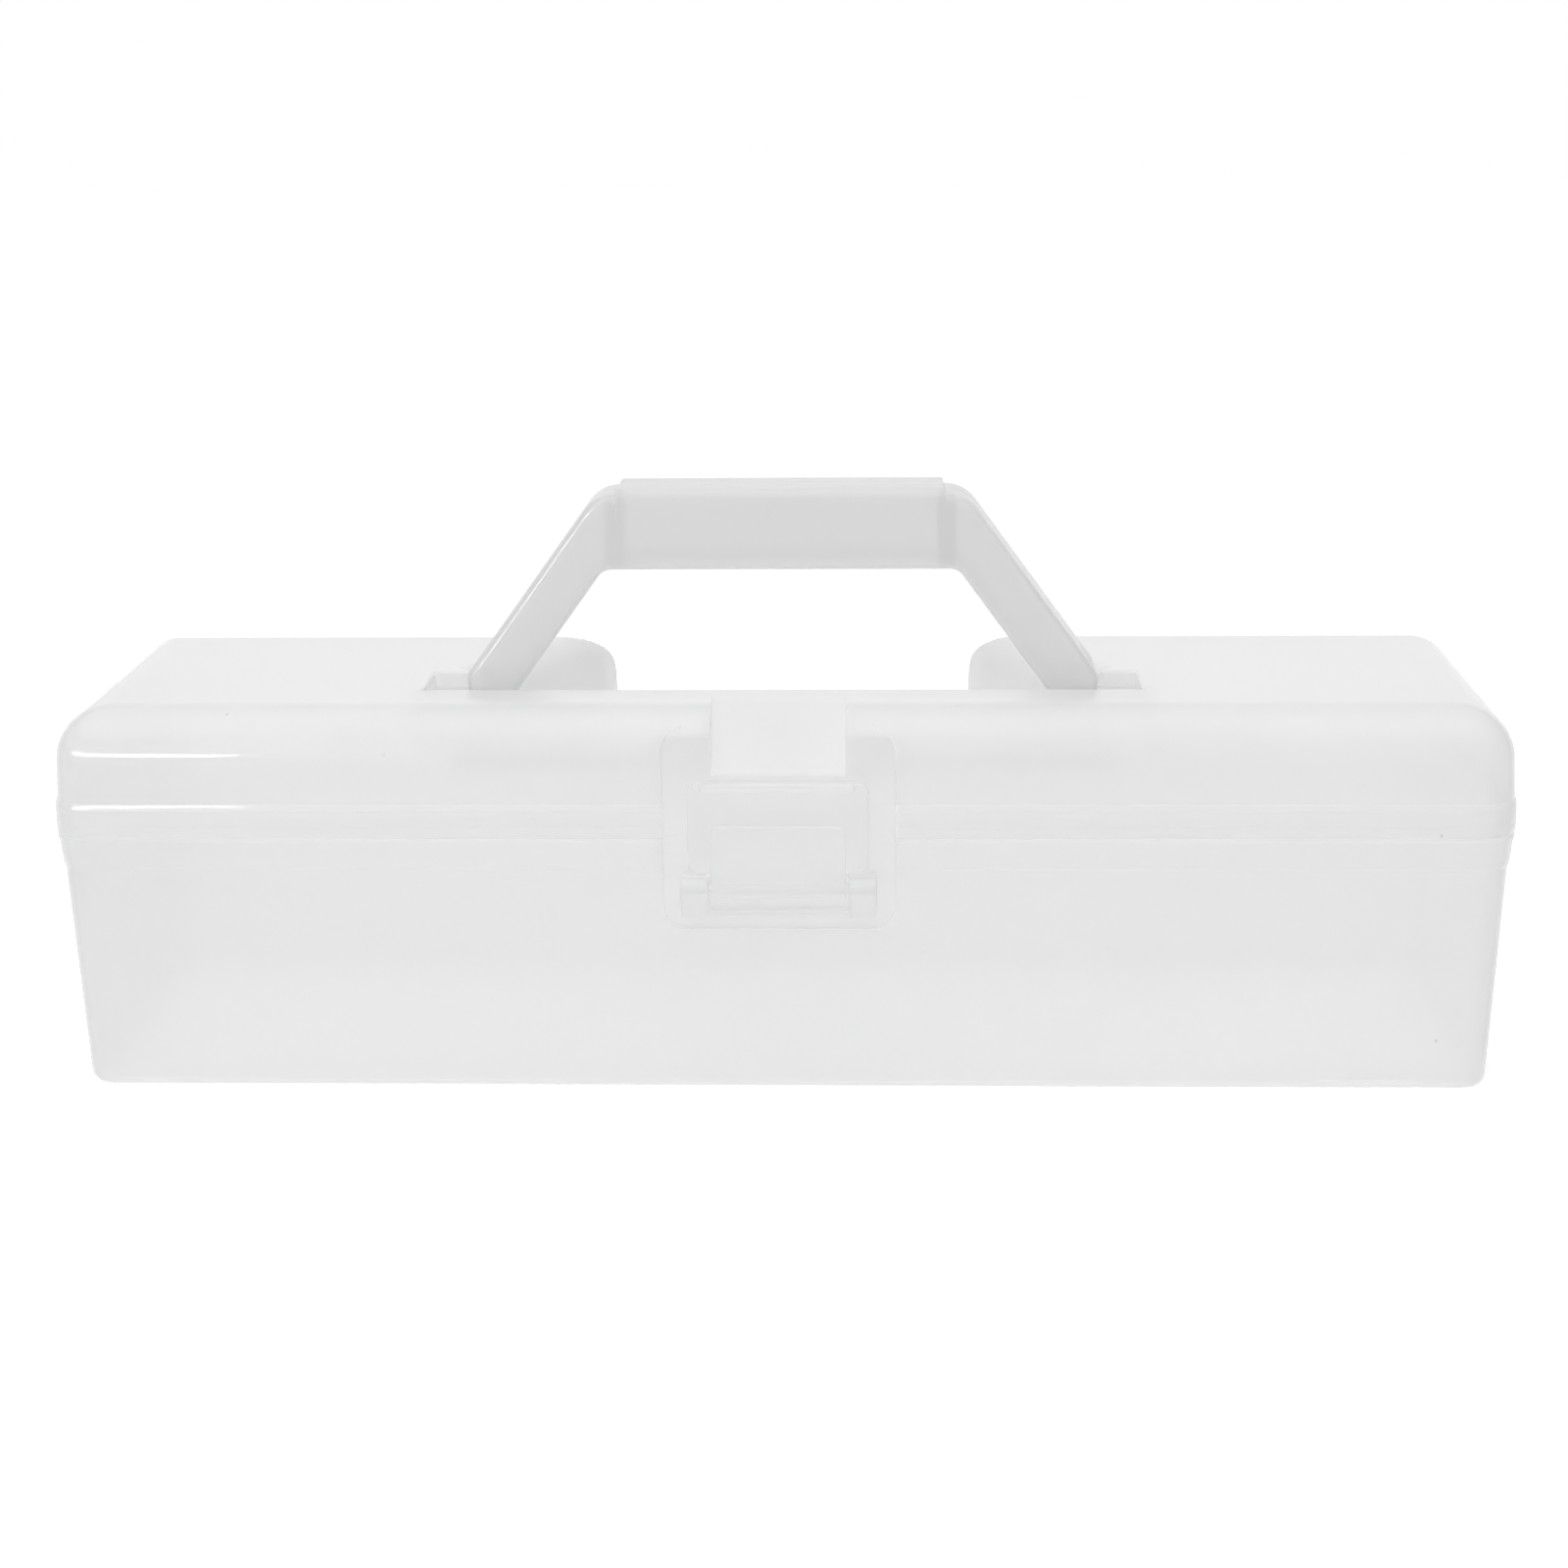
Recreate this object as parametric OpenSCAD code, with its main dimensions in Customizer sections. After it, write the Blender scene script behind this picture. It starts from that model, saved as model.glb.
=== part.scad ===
// Long moulded carry box for brushes and paint tubes.
// A drafted tub and a hollow lid meet at a rim, the lid turns on two hinges at the back,
// a bail handle folds back into a trough in the lid, and a flap latch closes the front.
// Sizes are in millimetres. +Z is up, the latch faces -Y, the origin is the middle of the underside.

/* [Box] */
// Length of the box over the rim
box_length = 380; // [300:1:440]
// Depth of the box over the rim, front to back
box_depth = 110; // [106:1:140]
// Height at which the lid meets the tub
rim_height = 70; // [64:1:95]
// Height of the lid above the rim
lid_height = 33; // [32:0.5:42]
// Wall thickness of tub and lid
wall = 1.8; // [1.4:0.1:2.2]
// Thickness of the tub's floor
floor_thickness = 2; // [1.6:0.1:3]
// Radius of the upright corners at the rim
corner_radius = 13; // [12:0.5:18]

/* [Tub] */
// How far the walls lean in from the shoulder to the floor
tub_lean = 2.4; // [1:0.1:4]
// How far the flared shoulder stands out below the rim
shoulder_flare = 1.9; // [1:0.1:2.4]
// Height of the flared shoulder
shoulder_height = 9; // [6:0.5:12]
// Radius of the bottom edge
bottom_radius = 3.4; // [2.5:0.1:4.5]
// Height of the tongue that stands inside the lid
tongue_height = 5; // [3:0.5:6]
// Thickness of the tongue
tongue_thickness = 1.5; // [1.2:0.1:2]

/* [Lid] */
// Height of the bead round the lid's rim
bead_height = 9; // [8:0.5:11]
// How far the bead stands out from the wall above it
bead_step = 0.6; // [0.3:0.1:1.2]
// How far the lid's wall leans in from the bead to the top rounding
lid_lean = 0.6; // [0.2:0.1:1]
// Radius of the rounding between walls and top
top_radius = 11.6; // [9:0.1:11.6]
// Gap between the tongue and the lid's bead
tongue_gap = 0.4; // [0.3:0.05:0.8]
// Gap between the lid's edge and the tub's shoulder
seat_gap = 0.3; // [0.2:0.05:0.5]

/* [Trough] */
// Depth of the strip of flat top in front of the trough, from the rim back
front_strip = 29; // [27:0.5:34]
// Depth of the trough below the top of the lid
trough_depth = 21; // [20.5:0.5:22]
// Half width of the trough's floor at the back
trough_back_half = 52; // [46:0.5:54]
// Radius of the rounding along the sides of the trough
trough_radius = 12.5; // [8:0.5:13]
// Depth of the pivot pockets below the top of the lid
pocket_depth = 12; // [11.5:0.5:14]
// Length of a pivot pocket beside the foot
pocket_length = 10.7; // [8:0.1:14]

/* [Handle] */
// Width over the feet of the handle
handle_foot_width = 168.6; // [160:0.2:180]
// Width at the top of the handle, where the sloping legs would meet the grip
handle_top_width = 98.6; // [92:0.2:110]
// Height of the grip's top above the lid
handle_rise = 51.5; // [46:0.5:60]
// Thickness of the handle, front to back
handle_depth = 20; // [18:0.5:20]
// Height of the grip
grip_height = 19.8; // [16:0.2:22]
// Width of each leg, measured level
leg_width = 16.1; // [13:0.1:18]
// Length of the thicker pad on top of the grip
pad_length = 87; // [60:1:90]
// Height of the pad on top of the grip
pad_height = 1.5; // [0.8:0.1:2]
// Radius of the outer corners of the handle
handle_corner = 8; // [4:0.5:9]
// Radius of the inner corners of the handle
handle_inner_corner = 4.5; // [2:0.5:8]
// Wall thickness of the handle
handle_wall = 2.4; // [1.8:0.1:3]
// Radius of the handle's stub pins
stub_radius = 3; // [2.5:0.1:3]
// Radius of the hub round each stub pin
hub_radius = 3.9; // [3.4:0.1:3.9]
// Depth of the stub pins in the lid
stub_reach = 4.4; // [3:0.1:6]
// Running clearance round the stub pins
stub_clearance = 0.06; // [0.03:0.01:0.1]

/* [Latch] */
// Width of the latch plate
latch_width = 46.6; // [40:0.2:50]
// Height of the latch plate's top above the rim
latch_top = 15.4; // [14.4:0.1:17]
// Distance from the rim down to the latch's pin
latch_drop = 13; // [11:0.5:16]
// Thickness of the latch plate
latch_thickness = 1.8; // [1.4:0.1:2.2]
// Width of the middle band and barrel of the latch
barrel_width = 34.8; // [28:0.2:36]
// Outer radius of the latch barrel
barrel_radius = 2.6; // [2.4:0.1:2.8]
// Depth of the latch bay below the rim's face
bay_depth = 3.5; // [3:0.1:4]
// Width of the latch bay
bay_width = 60; // [56:1:70]
// Width of each ear beside the latch barrel
ear_width = 7.2; // [5:0.2:7.4]

/* [Hinges] */
// Distance of each hinge from the end of the box
hinge_inset = 70; // [64:1:100]
// Width of the lid's knuckle
knuckle_width = 18; // [12:1:24]
// Width of each knuckle of the tub
side_knuckle_width = 8; // [6:0.5:12]
// Outer radius of every knuckle
knuckle_radius = 3; // [2.8:0.1:3.4]
// Radius of the hinge and latch pins
pin_radius = 1.5; // [1.2:0.1:1.6]
// Running clearance round the pins
pin_clearance = 0.05; // [0.02:0.01:0.1]
// Interference of the pins in the pieces that hold them
pin_grip = 0.02; // [0.01:0.01:0.04]
// Side gap between neighbouring knuckles
knuckle_gap = 0.4; // [0.3:0.05:0.8]

/* [Hidden] */
$fn = 64;
milky = [0.93, 0.94, 0.95, 0.55];
milky_dense = [0.84, 0.85, 0.86, 0.8];

// Cutters run this far past the faces that they cut, and joined shapes this far into each other.
past = 2;
bite = 1;
half_length = box_length / 2;
half_depth = box_depth / 2;
lid_top = rim_height + lid_height;

// Wall faces of the tub, as distances from the centre of a corner's arc.
shoulder_z = rim_height - shoulder_height;
rim_inset = 0.7;
rim_face = corner_radius - rim_inset;
shoulder_face = rim_face - shoulder_flare;
foot_face = shoulder_face - tub_lean;
bead_wall = wall + 0.2;
tongue_top = rim_height + tongue_height;
tongue_outer = corner_radius - bead_wall - tongue_gap;
tongue_inner = tongue_outer - tongue_thickness;

// Wall faces of the lid, likewise.
bead_top = rim_height + bead_height;
bead_inner = corner_radius - bead_wall;
ledge_low = tongue_top + 1.5;
ledge_high = max(bead_top - 1, ledge_low + 0.5);
lid_face = corner_radius - bead_step;
lid_shoulder = lid_face - lid_lean;
rounding_z = lid_top - top_radius;

// Planes of the handle and its trough. The handle stands just behind the front strip.
strip_back = -half_depth + front_strip;
handle_gap = 0.8;
handle_front = strip_back + handle_gap;
handle_back = handle_front + handle_depth;
foot_round = hub_radius + 0.1;
pivot_sink = 0.2;
pivot_y = handle_front + foot_round;
pivot_z = lid_top - foot_round - pivot_sink;
foot_half = handle_foot_width / 2;
grip_top = lid_top + handle_rise;
slot_gap = 1.7;
slot_half = foot_half + slot_gap;
pocket_back = handle_back + handle_gap;
pocket_half = foot_half + pocket_length;
trough_floor = lid_top - trough_depth;
pocket_floor = lid_top - pocket_depth;
// The slot for the legs reaches back past the corner that swings out furthest, at the knee.
knee_rise = 3.4;
knee_z = lid_top + knee_rise;
knee_swing = sqrt((handle_back - pivot_y) ^ 2 + (knee_z - pivot_z) ^ 2);
swing_gap = 3;
slot_back = pivot_y + knee_swing + swing_gap;
wedge_step = 5;
wedge_front_half = slot_half - wedge_step;
wedge_run = half_depth - slot_back;
wedge_angle = atan((wedge_front_half - trough_back_half) / wedge_run);

// Outline of the handle: legs slope from the feet to the grip.
leg_slope = (foot_half - handle_top_width / 2) / (grip_top - knee_z);
foot_drop = 3.8;
foot_width = 11.4;
foot_chamfer = 6.3;
cheek_rise = 2.7;
foot_relief = 0.3;
heel_rise = 4.2;
heel_run = 5;
foot_z = pivot_z - foot_drop;
grip_under = grip_top - grip_height;
// Angle between the grip and a leg, and the level distance from a corner to where its arc starts.
leg_bend = 90 + atan(leg_slope);
outer_tangent = handle_corner / tan(leg_bend / 2);
inner_tangent = handle_inner_corner / tan(leg_bend / 2);
inner_half = handle_top_width / 2 + leg_slope * grip_height - leg_width;
// The legs are solid up to here, and the grip above is a shell open at the back.
solid_z = lid_top + 4;
web_thickness = 3;
web_middle = inner_half - inner_tangent - web_thickness / 4;
web_setback = 3;

// Planes of the latch and its bay.
bay_face = -half_depth + bay_depth;
latch_pin_z = rim_height - latch_drop;
bay_drop = 25;
bay_cover = 4.6;
bay_low = rim_height - bay_drop;
bay_top = lid_top - bay_cover;
bay_corner = 6;
bay_floor = bay_face + bite;
latch_pin_stand = 0.6;
latch_pin_y = -half_depth - latch_pin_stand;
latch_seat = 0.2;
latch_back = -half_depth - latch_seat;
latch_front = latch_back - latch_thickness;
latch_top_z = rim_height + latch_top;
latch_corner = 3;
band_step = 0.8;
band_top = rim_height + 4;
lip_half = 20;
lip_height = 2;
lip_depth = 1.4;
flange_thickness = 1.8;
flange_gap = 0.7;
rib_inset = 3.2;
rib_thickness = 1.2;
rib_depth = 1.6;
ear_gap = 0.8;
ear_inner = barrel_width / 2 + ear_gap;
ear_outer = ear_inner + ear_width;
ear_radius = 3;
ear_depth = 8.5;
sill_height = 2;
sill_depth = 2;
// The hook of the latch stands over the catch ridge of the lid.
catch_half = 14;
catch_rise = 6;
catch_z = rim_height + catch_rise;
catch_height = 1.6;
catch_depth = 1.4;
hook_half = catch_half - 1;
hook_z = catch_z + catch_height + 0.4;
hook_height = 2;
hook_gap = 0.3;
scoop_gap = 0.6;
scoop_floor = 5;
scoop_rise = 5;
scoop_run = 8;

// The hinge axis lies just behind the rim.
hinge_offset = half_length - hinge_inset;
hinge_stand = 0.4;
hinge_rise = 1;
hinge_y = half_depth + knuckle_radius + hinge_stand;
hinge_z = rim_height + hinge_rise;
arm_gap = 0.2;
arm_drop = 5;
arm_lift = 0.5;
side_knuckle_in = knuckle_width / 2 + knuckle_gap;
side_knuckle_out = side_knuckle_in + side_knuckle_width;

// Flat outline with round corners.
module round_plate(width, height, radius) {
    square([width - 2 * radius, height], center = true);
    square([width, height - 2 * radius], center = true);
    for (x = [-1, 1], y = [-1, 1])
        translate([x * (width / 2 - radius), y * (height / 2 - radius)]) circle(radius);
}

// Extrudes a flat outline drawn in X and Z along Y, between two planes.
module along_y(from, to) {
    translate([0, to, 0]) rotate([90, 0, 0]) linear_extrude(to - from) children();
}

// Extrudes a flat outline drawn in Y and Z along X, symmetric about a middle plane.
module along_x(middle, width) {
    translate([middle - width / 2, 0, 0]) rotate([90, 0, 90]) linear_extrude(width) children();
}

// A round bar along X.
module bar_x(middle, width, y, z, radius) {
    translate([middle - width / 2, y, z]) rotate([0, 90, 0]) cylinder(r = radius, h = width);
}

// A block between two opposite corners.
module block(low, high) {
    translate(low) cube(high - low);
}

// Carries a wall profile round the rounded rectangle of the box and fills the inside.
// The profile is drawn from the centre of a corner's arc outwards.
module carried(low, high) {
    core_length = half_length - corner_radius;
    core_depth = half_depth - corner_radius;
    along_y(-core_depth, core_depth) both_sides(core_length, low, high) children();
    along_x(0, 2 * core_length) both_sides(core_depth, low, high) children();
    for (x = [-1, 1], y = [-1, 1])
        translate([x * core_length, y * core_depth, 0]) rotate_extrude() children();
}

module both_sides(core, low, high) {
    translate([-core, low]) square([2 * core, high - low]);
    translate([core, 0]) children();
    mirror([1, 0]) translate([core, 0]) children();
}

// Outside of the tub, up to the flat top of its shoulder.
module tub_outside() {
    face = rim_height - seat_gap;
    centre = [foot_face - bottom_radius, bottom_radius];
    polygon([[0, 0], [centre[0], 0], [foot_face, bottom_radius], [shoulder_face, shoulder_z],
             [rim_face, face], [0, face]]);
    translate(centre) circle(bottom_radius);
}

// Room inside the tub.
module tub_inside() {
    radius = max(bottom_radius - wall, 1);
    edge = foot_face - wall;
    polygon([[0, floor_thickness], [edge - radius, floor_thickness], [edge, floor_thickness + radius],
             [shoulder_face - wall, shoulder_z], [tongue_inner, rim_height - past],
             [tongue_inner, tongue_top + past], [0, tongue_top + past]]);
    translate([edge - radius, floor_thickness + radius]) circle(radius);
}

module tongue_outside() {
    low = shoulder_z + past;
    translate([0, low]) square([tongue_outer, tongue_top - low]);
}

// Outside of the lid, from its edge to its top.
module lid_outside() {
    polygon([[0, rim_height], [corner_radius, rim_height], [corner_radius, bead_top],
             [lid_face, bead_top], [lid_shoulder, rounding_z],
             [lid_shoulder - top_radius, lid_top], [0, lid_top]]);
    rounding(lid_shoulder, top_radius);
}

// Room inside the lid.
module lid_inside() {
    polygon([[0, rim_height - past], [bead_inner, rim_height - past], [bead_inner, ledge_low],
             [lid_face - wall, ledge_high], [lid_shoulder - wall, rounding_z],
             [lid_shoulder - top_radius, lid_top - wall], [0, lid_top - wall]]);
    rounding(lid_shoulder - wall, top_radius - wall);
}

// Quarter of a disc that rounds the edge between wall and top.
module rounding(face, radius) {
    intersection() {
        translate([face - radius, rounding_z]) circle(radius);
        translate([0, rounding_z]) square([face, radius]);
    }
}

// The trough that takes the folded handle. Grown by a wall, it gives the walls round it.
module trough(grow) {
    low = trough_floor - grow;
    top = lid_top + past;
    block([-slot_half - grow, strip_back - grow, low], [slot_half + grow, slot_back + grow, top]);
    translate([0, 0, low]) linear_extrude(top - low) wedge_outline(grow);
    block([-pocket_half - grow, strip_back - grow, pocket_floor - grow],
          [pocket_half + grow, pocket_back + grow, top]);
    for (side = [0, 1]) mirror([side, 0, 0]) trough_edge(grow);
}

// Plan of the trough behind the pivots: it narrows towards the back and is open there.
module wedge_outline(grow) {
    shift = grow / cos(wedge_angle);
    run = wedge_run + past;
    back = trough_back_half + shift - past * tan(wedge_angle);
    front = wedge_front_half + shift;
    polygon([[-front, slot_back], [front, slot_back], [back, slot_back + run], [-back, slot_back + run]]);
}

// Cuts the long rounding along a side of the trough.
module trough_edge(grow) {
    high = trough_radius + past;
    intersection() {
        block([0, slot_back - grow, 0], [half_length, half_depth + past, lid_top + past]);
        translate([wedge_front_half, slot_back, lid_top - trough_radius])
            rotate([0, 0, wedge_angle]) difference() {
                block([-past, -box_depth, 0], [trough_radius, box_depth, high]);
                translate([trough_radius, box_depth, 0]) rotate([90, 0, 0])
                    cylinder(r = trough_radius - grow, h = 2 * box_depth);
            }
    }
}

// The bay that takes the latch, cut through rim and wall at the front.
module latch_bay(low, high) {
    along_y(-half_depth - past, bay_face)
        translate([0, (low + high) / 2]) round_plate(bay_width, high - low, bay_corner);
}

// Scoop for a thumb behind the top of the latch.
module thumb_scoop(grow) {
    low = latch_top_z + scoop_gap - grow;
    bend_y = bay_face + scoop_floor + grow;
    bend_z = low + scoop_rise + grow / 2;
    back_y = bend_y + scoop_run + grow / 2;
    along_x(0, barrel_width + 2 * grow)
        polygon([[-half_depth - past, low], [bay_floor + grow, low], [bend_y, bend_z],
                 [back_y, lid_top + grow], [-half_depth - past, lid_top + grow]]);
}

// Blocks under the top of the lid that hold the handle's stub pins.
module stub_block() {
    around = stub_radius + wall;
    block([pocket_half, pivot_y - around, pivot_z - around],
          [pocket_half + stub_reach + wall / 2, pivot_y + around, lid_top - wall / 2]);
}

module lid_walls() {
    difference() {
        carried(rim_height, lid_top) lid_outside();
        trough(0);
        latch_bay(bay_low, bay_top);
        thumb_scoop(0);
        difference() {
            carried(rim_height - past, lid_top - wall) lid_inside();
            trough(wall);
            thumb_scoop(wall);
            block([-bay_width / 2 - wall, -half_depth, rim_height - past],
                  [bay_width / 2 + wall, bay_face + wall, lid_top]);
            for (side = [0, 1]) mirror([side, 0, 0]) stub_block();
        }
    }
}

// Knuckle with its arm to the rim: the arm lies above the axis on the lid and below it on the tub.
module knuckle(middle, width, low, high) {
    bar_x(middle, width, hinge_y, hinge_z, knuckle_radius);
    block([middle - width / 2, half_depth - bite, low], [middle + width / 2, hinge_y, high]);
}

module base_tub() {
    color(milky) difference() {
        union() {
            tub_walls();
            for (side = [0, 1]) mirror([side, 0, 0]) {
                latch_ear();
                for (end = [-1, 1])
                    knuckle(hinge_offset + end * (side_knuckle_in + side_knuckle_width / 2),
                            side_knuckle_width, rim_height - arm_drop, rim_height - seat_gap - arm_gap);
            }
            latch_sill();
        }
        for (side = [-1, 1])
            bar_x(side * hinge_offset, 2 * side_knuckle_out + past, hinge_y, hinge_z,
                  pin_radius - pin_grip);
        bar_x(0, 2 * ear_outer + past, latch_pin_y, latch_pin_z, pin_radius - pin_grip);
    }
}

module tub_walls() {
    bay_side = bay_width / 2 + wall;
    difference() {
        union() {
            carried(0, rim_height - seat_gap) tub_outside();
            carried(shoulder_z, tongue_top) tongue_outside();
        }
        difference() {
            carried(floor_thickness, tongue_top + past) tub_inside();
            block([-bay_side, -half_depth, bay_low - wall], [bay_side, bay_face + wall, rim_height]);
        }
        latch_bay(bay_low, bay_top);
        block([-bay_side - bite, -half_depth, rim_height - seat_gap],
              [bay_side + bite, bay_face + wall + past, tongue_top + past]);
    }
}

// One of the two ears that hold the latch's pin.
module latch_ear() {
    middle = (ear_inner + ear_outer) / 2;
    low = latch_pin_z - ear_depth;
    along_x(middle, ear_width) {
        translate([latch_pin_y, latch_pin_z]) circle(ear_radius);
        polygon([[bay_floor, latch_pin_z + ear_radius], [latch_pin_y, latch_pin_z + ear_radius],
                 [latch_pin_y - ear_radius * cos(30), latch_pin_z - ear_radius * sin(30)],
                 [bay_face - sill_depth, low], [bay_floor, low]]);
    }
}

// Narrow sill under the latch that ties the two ears together.
module latch_sill() {
    low = latch_pin_z - ear_depth;
    block([-ear_outer, bay_face - sill_depth, low], [ear_outer, bay_floor, low + sill_height]);
}

module lid() {
    color(milky) difference() {
        union() {
            lid_walls();
            block([-catch_half, bay_face - catch_depth, catch_z],
                  [catch_half, bay_floor, catch_z + catch_height]);
            for (side = [-1, 1])
                knuckle(side * hinge_offset, knuckle_width, hinge_z + arm_lift, hinge_z + knuckle_radius);
        }
        for (side = [-1, 1])
            bar_x(side * hinge_offset, knuckle_width + past, hinge_y, hinge_z, pin_radius + pin_clearance);
        for (side = [0, 1]) mirror([side, 0, 0])
            bar_x(pocket_half + (stub_reach - bite) / 2, stub_reach + bite, pivot_y, pivot_z,
                  stub_radius + stub_clearance);
    }
}

// Half outline of the handle, from the middle of the grip to the foot.
module handle_half(inset) {
    skew = inset * (sqrt(1 + leg_slope * leg_slope) - leg_slope);
    top_half = handle_top_width / 2 - skew;
    top = grip_top - inset;
    foot_inner = foot_half - foot_width;
    inner_knee = grip_under - (foot_inner - inner_half) / leg_slope;
    corner = max(outer_tangent - inset, 1);
    drop = corner * cos(leg_bend - 90);
    polygon([[-bite, top], [top_half - corner, top],
             [top_half + corner * sin(leg_bend - 90), top - drop],
             [foot_half - skew, knee_z - inset], [foot_half - inset, pivot_z + cheek_rise],
             [foot_half - foot_chamfer - inset, foot_z + inset], [foot_inner + inset, foot_z + inset],
             [foot_inner + inset, inner_knee + inset],
             [inner_half + skew, grip_under + inset], [-bite, grip_under + inset]]);
}

// Arc round the outer corner, and the web that fills the inner corner to its arc.
module handle_corner_arcs() {
    corner = [handle_top_width / 2 - outer_tangent, grip_top - handle_corner];
    translate(corner) circle(handle_corner);
    centre = [inner_half - inner_tangent, grip_under - handle_inner_corner];
    difference() {
        polygon([[inner_half - inner_tangent, grip_under + bite], [inner_half + bite, grip_under + bite],
                 [inner_half + inner_tangent * sin(leg_bend - 90),
                  grip_under - inner_tangent * cos(leg_bend - 90)], centre]);
        translate(centre) circle(handle_inner_corner);
    }
}

module handle_outline(inset) {
    for (side = [0, 1]) mirror([side, 0]) {
        handle_half(inset);
        if (inset == 0) handle_corner_arcs();
    }
}

// Web across the open back of the handle, where the grip meets a leg.
module handle_web() {
    along_y(handle_front + handle_wall / 2, handle_back - web_setback) intersection() {
        handle_outline(0);
        translate([web_middle - web_thickness / 2, grip_under]) square([web_thickness, grip_height]);
    }
}

module handle_shell() {
    pad_half = pad_length / 2;
    pad_foot = pad_half + pad_height;
    difference() {
        along_y(handle_front, handle_back) handle_outline(0);
        along_y(handle_front + handle_wall, handle_back + past) intersection() {
            handle_outline(handle_wall);
            translate([-half_length, solid_z]) square([box_length, box_length]);
        }
    }
    for (side = [0, 1]) mirror([side, 0, 0]) handle_web();
    along_y(handle_front, handle_back)
        translate([0, grip_top]) polygon([[-pad_foot, -bite], [-pad_foot, 0], [-pad_half, pad_height],
                                          [pad_half, pad_height], [pad_foot, 0], [pad_foot, -bite]]);
}

module carry_handle() {
    color(milky_dense) {
        difference() {
            handle_shell();
            foot_front_cut();
            foot_back_cut();
        }
        for (side = [0, 1]) mirror([side, 0, 0]) {
            start = foot_half - foot_chamfer - past;
            hub_end = pocket_half - knuckle_gap;
            stub_end = hub_end + stub_reach;
            bar_x((start + hub_end) / 2, hub_end - start, pivot_y, pivot_z, hub_radius);
            bar_x((start + stub_end) / 2, stub_end - start, pivot_y, pivot_z, stub_radius);
        }
    }
}

// Rounds the front of the feet about the pivot, so that they turn clear of the trough.
module foot_front_cut() {
    difference() {
        block([-half_length, handle_front - past, foot_z - past], [half_length, pivot_y, pivot_z]);
        bar_x(0, box_length, pivot_y, pivot_z, foot_round + foot_relief);
    }
}

// Slopes the back of the feet, so that they turn clear of the trough's floor.
module foot_back_cut() {
    along_x(0, box_length)
        polygon([[handle_back + past, foot_z + heel_rise + past], [handle_back, foot_z + heel_rise],
                 [handle_back - heel_run, foot_z], [handle_back - heel_run, foot_z - past],
                 [handle_back + past, foot_z - past]]);
}

module latch() {
    color(milky) difference() {
        union() {
            latch_plate(latch_width, latch_pin_z + ear_radius + 1, latch_top_z, latch_front);
            latch_plate(barrel_width, latch_pin_z, band_top, latch_front - band_step);
            block([-lip_half, latch_front - lip_depth, latch_top_z - lip_height],
                  [lip_half, latch_back, latch_top_z]);
            block([-hook_half, latch_front, hook_z],
                  [hook_half, bay_face - catch_depth - hook_gap, hook_z + hook_height]);
            for (side = [0, 1]) mirror([side, 0, 0]) latch_flange();
            bar_x(0, barrel_width, latch_pin_y, latch_pin_z, barrel_radius);
        }
        bar_x(0, barrel_width + past, latch_pin_y, latch_pin_z, pin_radius + pin_clearance);
    }
}

// Plate of the latch, square at its lower edge and round at its upper corners.
module latch_plate(width, low, high, front) {
    along_y(front, latch_back) {
        translate([-width / 2, low]) square([width, high - low - latch_corner]);
        translate([0, (low + high) / 2]) round_plate(width, high - low, latch_corner);
    }
}

// Stiffening flange behind a side edge of the latch plate, and a rib beside it.
module latch_flange() {
    edge = latch_width / 2;
    rib = edge - rib_inset;
    low = latch_pin_z + ear_radius + 2;
    block([edge - flange_thickness, latch_front, low],
          [edge, bay_face - flange_gap, latch_top_z - latch_corner]);
    block([rib - rib_thickness, latch_front, low + 3],
          [rib, latch_back + rib_depth, latch_top_z - latch_corner - 2]);
}

module latch_pin() {
    color(milky_dense) bar_x(0, 2 * ear_outer, latch_pin_y, latch_pin_z, pin_radius);
}

module hinge_pin(side) {
    color(milky_dense) bar_x(side * hinge_offset, 2 * side_knuckle_out, hinge_y, hinge_z, pin_radius);
}

module hinge_pin_left() {
    hinge_pin(-1);
}

module hinge_pin_right() {
    hinge_pin(1);
}

base_tub();
lid();
carry_handle();
latch();
latch_pin();
hinge_pin_left();
hinge_pin_right();
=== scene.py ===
# A long moulded box for brushes and paint tubes, put together in the order in which it is assembled:
# the tub, the lid on its two hinge pins, the carry handle in the lid's trough, and the front latch.
# Shapes are worked out in millimetres and turned to metres where a mesh is made.
import math

import bmesh
import bpy
import numpy as np
from mathutils import Matrix, Vector


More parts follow.
